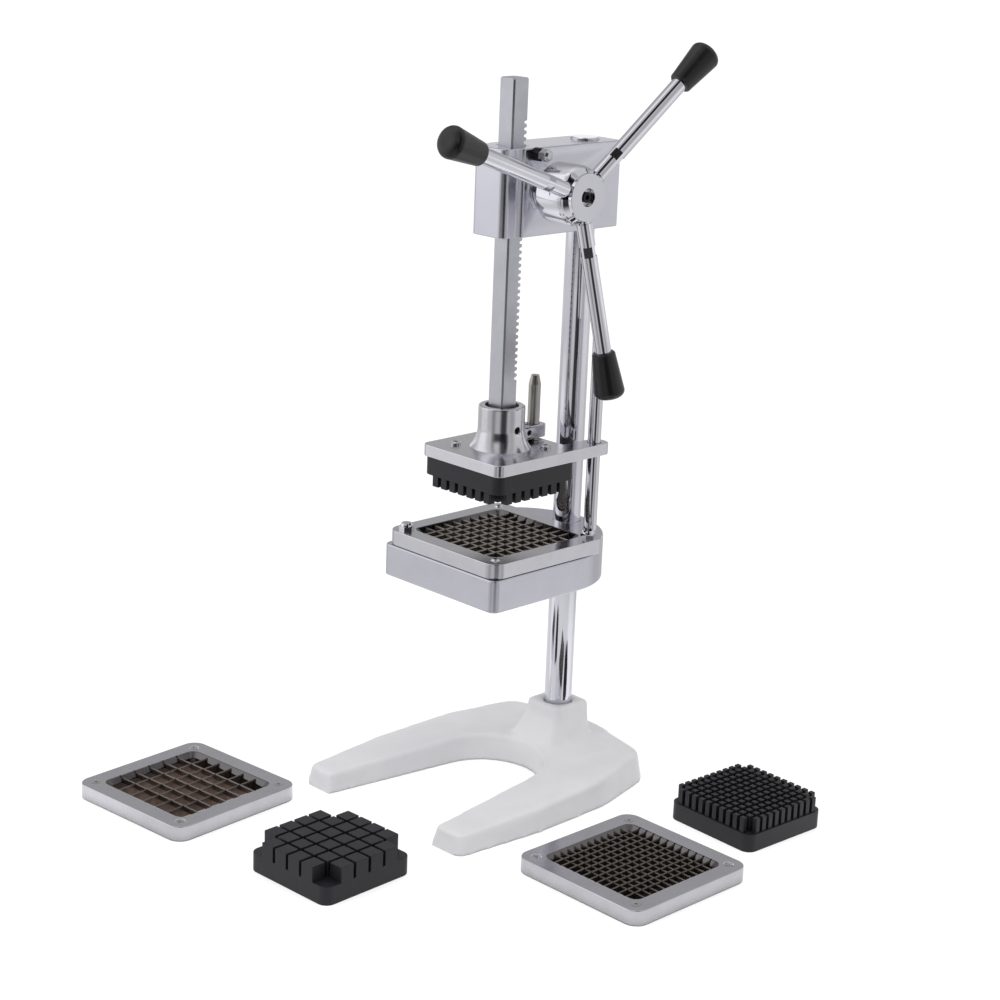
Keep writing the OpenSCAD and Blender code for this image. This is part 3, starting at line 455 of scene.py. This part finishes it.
def slotted_blades(tree, node, upper, cells, turn):
    """The lower blades of a grid, with their edges up among the upper ones as slotted blades cross."""
    low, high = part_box(node)
    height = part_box(upper)[1].z - EDGE_DROP - low.z
    values = {"Blades": cells - 1, "Pitch": GRID_SIDE / cells, "Length": BLADE_LENGTH, "Thickness": BLADE_T,
              "Height": height, "Edge": BLADE_EDGE, "Finish": finishes["blade_steel"]}
    piece = bpy.data.objects.new(node + "_slotted", bpy.data.meshes.new(node + "_slotted"))
    bpy.context.scene.collection.objects.link(piece)
    row = piece.modifiers.new("row", "NODES")
    row.node_group = tree
    for item in tree.interface.items_tree:
        if item.item_type == "SOCKET" and item.in_out == "INPUT":
            row[item.identifier] = values[item.name]
    plain_mesh(piece)
    centre = (low + high) / 2
    centre.z = low.z + (height - BLADE_EDGE) / 2
    piece.data.transform(Matrix.Translation(centre) @ Matrix.Rotation(math.radians(turn), 4, "Z"))
    return stand_in(piece, node)


# ---------------------------------------------------------------- light, floor and background

STUDIO_CENTRE = (0.0, 0.0, 0.35)
# The shade inside a loose frame fades out between these distances from its middle
SHADE_EDGE = (57 * MM, 61 * MM)
# Upright dark screens, in degrees from straight ahead: middle, half width, soft edge, and how dark
SCREENS = ((12, 11, 9, 0.93), (-38, 4, 9, 0.5), (54, 5, 14, 0.3))


def studio_shade(board, direction, screens=1.0, dusk=1.0, left=0.38, right=0.0):
    """Brightness of the studio as polished metal sees it: white walls, brighter at the left and right by
    those amounts, with dark screens, and a dark room behind the camera as far as dusk says."""
    x, y, z = board.parts_of(direction)
    ahead = math.atan2(-math.cos(CAMERA_AZIMUTH), math.sin(CAMERA_AZIMUTH))
    turn_x = x * math.cos(ahead) + y * math.sin(ahead)
    turn_y = y * math.cos(ahead) - x * math.sin(ahead)
    angle = turn_y.math("ARCTAN2", turn_x) * (180 / math.pi)
    height = z.math("ARCSINE") * (180 / math.pi)

    def near_to(value, centre, half, soft):
        return 1.0 - abs(value - centre).ramp(half, half + soft)

    dark = 1.0 - 0.93 * near_to(angle, 26, 6, 5) * near_to(height, 40, 16, 10)
    for middle, half, soft, depth in SCREENS:
        dark = dark * (1.0 - depth * near_to(angle, middle, half, soft))
    walls = 0.66 + left * near_to(angle, -92, 12, 18) + right * near_to(angle, 92, 14, 20)
    back = height.ramp(4, 15, 1.15, 0.38) - height.ramp(0, 4, 0.45, 0) + height.ramp(35, 75, 0, 0.45)
    behind = abs(angle).ramp(116, 150)
    room = 1.0 - 0.93 * dusk * near_to(angle, 0, 26, 18) * near_to(height, -10, 26, 14)
    front = walls * (1.0 - screens * (1.0 - dark)) * room
    return front * (1.0 - behind) + back * behind


def light_world():
    world = bpy.data.worlds.new("studio")
    world.use_nodes = True
    bpy.context.scene.world = world
    board = Board(world.node_tree)
    world.node_tree.nodes.clear()
    direction = board.add("ShaderNodeTexCoord", None, output=0)
    rays = board.tree.nodes.new("ShaderNodeLightPath")
    seen = Value(board, rays.outputs["Is Camera Ray"])
    glossy = Value(board, rays.outputs["Is Glossy Ray"])
    strength = seen + (1.0 - seen) * (glossy * studio_shade(board, direction) + (1.0 - glossy) * 0.74)
    background = board.add("ShaderNodeBackground", None, Color=(1, 1, 1), Strength=strength)
    board.add("ShaderNodeOutputWorld", None, Surface=background)


def under_frame(board, place, node, turn):
    """1 on the floor inside a loose cutting frame, where little light comes down between the blades."""
    low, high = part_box(node)
    centre = (low + high) / 2
    back = board.add("ShaderNodeVectorMath", {"operation": "SUBTRACT"}, place, (centre.x, centre.y, 0.0))
    local = board.add("ShaderNodeVectorRotate", {"rotation_type": "Z_AXIS"}, back,
                      Angle=-math.radians(turn))
    x, y, _ = board.parts_of(local)
    return 1.0 - abs(x).math("MAXIMUM", abs(y)).ramp(*SHADE_EDGE)


def lay_floor():
    """A white floor that keeps the shadows, has shade painted into its glow in hollows and inside the loose
    frames, and shows the studio to polished metal.
    """
    half = 14.0
    mesh = bpy.data.meshes.new("floor")
    corners = [(x * half, y * half, 0) for x, y in ((-1, -1), (1, -1), (1, 1), (-1, 1))]
    mesh.from_pydata(corners, [], [(0, 1, 2, 3)])
    floor = bpy.data.objects.new("floor", mesh)
    floor.location.z = -0.2 * MM
    bpy.context.scene.collection.objects.link(floor)
    material = bpy.data.materials.new("floor")
    material.use_nodes = True
    board = Board(material.node_tree)
    board.tree.nodes.clear()
    rays = board.tree.nodes.new("ShaderNodeLightPath")
    seen = Value(board, rays.outputs["Is Camera Ray"])
    glossy = Value(board, rays.outputs["Is Glossy Ray"])
    place = board.add("ShaderNodeTexCoord", None, output=3)
    away = board.add("ShaderNodeVectorMath", {"operation": "SUBTRACT"}, place, STUDIO_CENTRE)
    direction = board.add("ShaderNodeVectorMath", {"operation": "NORMALIZE"}, away)
    near = board.add("ShaderNodeVectorMath", {"operation": "LENGTH"}, place, output=1)
    level = near.ramp(0.4, 0.75, 1.15, 0.82) + near.ramp(1.2, 2.6, 0, 0.2)
    left = near.ramp(0.8, 1.3, 0.18, 0.38) - near.ramp(1.6, 2.1, 0, 0.36) + near.ramp(3.0, 3.4, 0, 0.38)
    right = near.ramp(0.8, 1.4, 0.22, 0.16) - near.ramp(2.9, 3.4, 0, 0.17) + near.ramp(5.0, 6.5, 0, 0.32)
    mirrored = level * studio_shade(board, direction, near.ramp(0.5, 1.1), near.ramp(2.9, 3.3), left, right)
    free = board.add("ShaderNodeAmbientOcclusion", {"samples": 6}, Distance=40 * MM, output=1)
    under = [under_frame(board, place, node, turn) for node, _, _, turn in GRIDS[1:]]
    # Painted shade on the floor: it turns brown inside the loose frames while they rest there, and its glow
    # dims where occlusion finds a hollow.
    shaded = (under[0] + under[1]) * free.ramp(0.95, 0.75)
    clear = free.ramp(0.12, 0.5) * (1.0 - 0.3 * shaded)
    glow = clear * (seen * 0.90 + glossy * mirrored)
    white = board.blend(glossy, board.blend(seen, (0.75, 0.75, 0.75), (0.22, 0.22, 0.22)), (0, 0, 0))
    paint = board.add("ShaderNodeBsdfDiffuse", None, Color=white)
    painted_floor_shade = board.blend(shaded, (1, 1, 1), (0.66, 0.52, 0.48))
    light = board.add("ShaderNodeEmission", None, Color=painted_floor_shade, Strength=glow)
    both = board.add("ShaderNodeAddShader", None, paint, light)
    board.add("ShaderNodeOutputMaterial", None, Surface=both)
    mesh.materials.append(material)


def hang_lamp(name, place, target, size, power):
    """A soft lamp; polished metal shows the studio's walls and not the lamp itself."""
    data = bpy.data.lights.new(name, "AREA")
    data.shape, data.size, data.energy = "DISK", size, power
    lamp = bpy.data.objects.new(name, data)
    lamp.location = place
    lamp.rotation_euler = (Vector(target) - Vector(place)).to_track_quat("-Z", "Y").to_euler()
    lamp.visible_glossy = False
    bpy.context.scene.collection.objects.link(lamp)


def light_studio():
    light_world()
    lay_floor()
    hang_lamp("key", (-0.6, -2.0, 1.9), (0, 0, 0.3), 1.2, 14)
    hang_lamp("fill", (2.2, 0.4, 1.4), (0, 0, 0.3), 1.4, 3)
    hang_lamp("top", (0.2, 0.3, 2.6), (0, 0, 0.2), 1.6, 4)
    bpy.context.scene.view_settings.view_transform = "Standard"


# ---------------------------------------------------------------- the white base

def cast_base():
    """The horseshoe casting with the soft edges and hollows that a thick enamel leaves."""
    work = merged_copy("base")
    piece = link_piece("base_casting", work)
    grid = piece.modifiers.new("grid", "REMESH")
    grid.mode, grid.voxel_size, grid.use_smooth_shade = "VOXEL", 1.8 * MM, True
    plain_mesh(piece)
    low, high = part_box("base")
    above = piece.vertex_groups.new(name="above")
    for vertex in piece.data.vertices:
        rise = (vertex.co.z - low.z - 4 * MM) / (8 * MM)
        above.add([vertex.index], min(max(rise, 0.0), 1.0), "REPLACE")
    for name, iterations in (("soft", 6), ("softer", 36)):
        soft = piece.modifiers.new(name, "SMOOTH")
        soft.factor, soft.iterations = 0.5, iterations
        if name == "softer":
            soft.vertex_group = "above"
    plain_mesh(piece)
    for vertex in piece.data.vertices:
        if vertex.co.z < low.z + 1.2 * MM:
            vertex.co.z = low.z
        vertex.co = Vector(min(max(value, a), b) for value, a, b in zip(vertex.co, low, high))
    piece.data.shade_smooth()
    return stand_in(piece, "base")


# ---------------------------------------------------------------- build

place_camera()
light_studio()
finishes = make_finishes()
for name, node in frame["nodes"].items():
    node.data.materials.clear()
    node.data.materials.append(finishes[SLOT_OF[name]])

cast_base()
eased("gear_head", 1.2 * MM)
eased("blade_holder", 1.4 * MM)
for node, _, _, turn in GRIDS:
    eased_frame(node, turn)
row_of_blades = blade_row_tree()
for _, kind, cells, turn in GRIDS:
    slotted_blades(row_of_blades, kind + "lower_blades", kind + "upper_blades", cells, turn)
eased("pusher_plate", 1.0 * MM)
eased("pusher_block", 0.5 * MM, 2)
eased("coarse_block", 0.5 * MM, 2)
eased("fine_block", 0.4 * MM, 2)
eased("hub", 0.6 * MM)
eased("rack", 0.35 * MM, 2)
